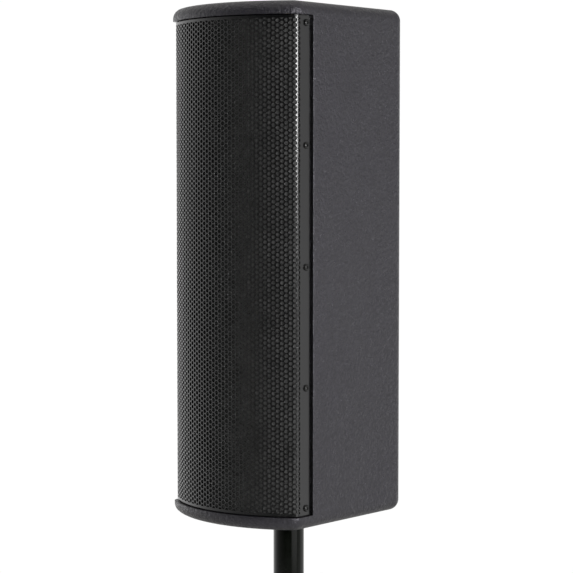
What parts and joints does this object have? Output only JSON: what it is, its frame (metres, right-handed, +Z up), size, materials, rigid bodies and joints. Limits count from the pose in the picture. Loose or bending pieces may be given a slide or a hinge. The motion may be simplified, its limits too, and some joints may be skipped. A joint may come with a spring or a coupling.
{
  "type": "column loudspeaker",
  "caption": "Slim column PA loudspeaker with a curved perforated grille, on a telescopic pole with a threaded stud at its foot.",
  "frame": {"origin": "centre of the pole foot's seat, where its threaded stud starts", "axes": "+Z up along the pole, the grille faces -Y, +X towards the right of the picture as the grille is looked at"},
  "size_m": [0.186, 0.2226, 1.258],
  "materials": {
    "cabinet_paint": "textured black coating on birch plywood",
    "raw_plywood": "plain birch plywood",
    "grille_steel": "semi-gloss black powder coat",
    "acoustic_foam": "open-cell foam",
    "wadding": "soft polyester fibre",
    "black_screw": "black zinc",
    "basket_paint": "satin black",
    "plated_steel": "zinc plated",
    "ferrite": "matt ground ferrite",
    "surround_rubber": "matt",
    "spider_cloth": "resin-dipped cloth",
    "cone_paper": "pressed paper pulp",
    "copper": "enamelled wire",
    "titanium": "thin pressed metal",
    "horn_plastic": "moulded, fine grain",
    "circuit_board": "lacquered laminate",
    "capacitor_sleeve": "shrink sleeve",
    "connector_plastic": "moulded",
    "nylon": "moulded",
    "pole_paint": "semi-gloss black powder coat",
    "collar_paint": "satin black",
    "knob_plastic": "moulded grip"
  },
  "bodies": {
    "lower_pole": {"lower_tube": "pole_paint", "pole_foot": "pole_paint", "threaded_stud": "plated_steel", "clamp_collar": "collar_paint", "collar_bush": "nylon"},
    "upper_pole": {"upper_tube": "pole_paint", "upper_tube_foot": "nylon", "upper_tube_cap": "nylon"},
    "clamp": {"clamp_screw": "plated_steel", "clamp_knob": "knob_plastic"},
    "cabinet": {"top_board": "cabinet_paint", "bottom_board": "cabinet_paint", "left_side_board": "cabinet_paint", "right_side_board": "cabinet_paint", "baffle_board": "raw_plywood", "back_board": "cabinet_paint", "lower_brace": "raw_plywood", "upper_brace": "raw_plywood", "grille": "grille_steel", "grille_foam": "acoustic_foam", "grille_screws": "black_screw", "lower_woofer_basket": "basket_paint", "lower_woofer_top_plate": "plated_steel", "lower_woofer_magnet": "ferrite", "lower_woofer_pole_yoke": "plated_steel", "lower_woofer_surround": "surround_rubber", "lower_woofer_spider": "spider_cloth", "upper_woofer_basket": "basket_paint", "upper_woofer_top_plate": "plated_steel", "upper_woofer_magnet": "ferrite", "upper_woofer_pole_yoke": "plated_steel", "upper_woofer_surround": "surround_rubber", "upper_woofer_spider": "spider_cloth", "woofer_screws": "black_screw", "horn_flare": "horn_plastic", "horn_screws": "black_screw", "compression_throat_plate": "plated_steel", "compression_magnet": "ferrite", "compression_diaphragm": "titanium", "compression_rear_cover": "horn_plastic", "crossover_board": "circuit_board", "crossover_spacers": "nylon", "crossover_coils": "copper", "crossover_capacitors": "capacitor_sleeve", "crossover_screws": "black_screw", "wadding_pads": "wadding", "connector_plate": "basket_paint", "input_connector": "connector_plastic", "link_connector": "connector_plastic", "connector_cores": "connector_plastic", "connector_screws": "black_screw", "plate_screws": "black_screw", "pole_socket": "basket_paint", "pole_socket_screws": "black_screw"},
    "lower_cone": {"lower_woofer_cone": "cone_paper", "lower_woofer_dust_cap": "cone_paper", "lower_woofer_voice_coil": "copper"},
    "upper_cone": {"upper_woofer_cone": "cone_paper", "upper_woofer_dust_cap": "cone_paper", "upper_woofer_voice_coil": "copper"}
  },
  "joints": [
    {"name": "pole_height", "type": "slide", "parent": "lower_pole", "child": "upper_pole", "axis": [0, 0, 1], "range_m": [0, 0.34]},
    {"name": "clamp_turn", "type": "hinge", "parent": "lower_pole", "child": "clamp", "pos_m": [0, 0.04, 0.56], "axis": [0, 1, 0], "range_deg": [0, 450]},
    {"name": "cabinet_swivel", "type": "hinge", "parent": "upper_pole", "child": "cabinet", "pos_m": [0, 0, 0.66], "axis": [0, 0, 1], "continuous": true},
    {"name": "lower_cone_travel", "type": "slide", "parent": "cabinet", "child": "lower_cone", "axis": [0, -1, 0], "range_m": [-0.003, 0.003], "stiffness_N_per_m": 1200, "deforming": ["lower_woofer_surround", "lower_woofer_spider"]},
    {"name": "upper_cone_travel", "type": "slide", "parent": "cabinet", "child": "upper_cone", "axis": [0, -1, 0], "range_m": [-0.003, 0.003], "stiffness_N_per_m": 1200, "deforming": ["upper_woofer_surround", "upper_woofer_spider"]}
  ],
  "couplings": [
    {"joint": "upper_cone_travel", "follows": "lower_cone_travel", "ratio": 1}
  ]
}
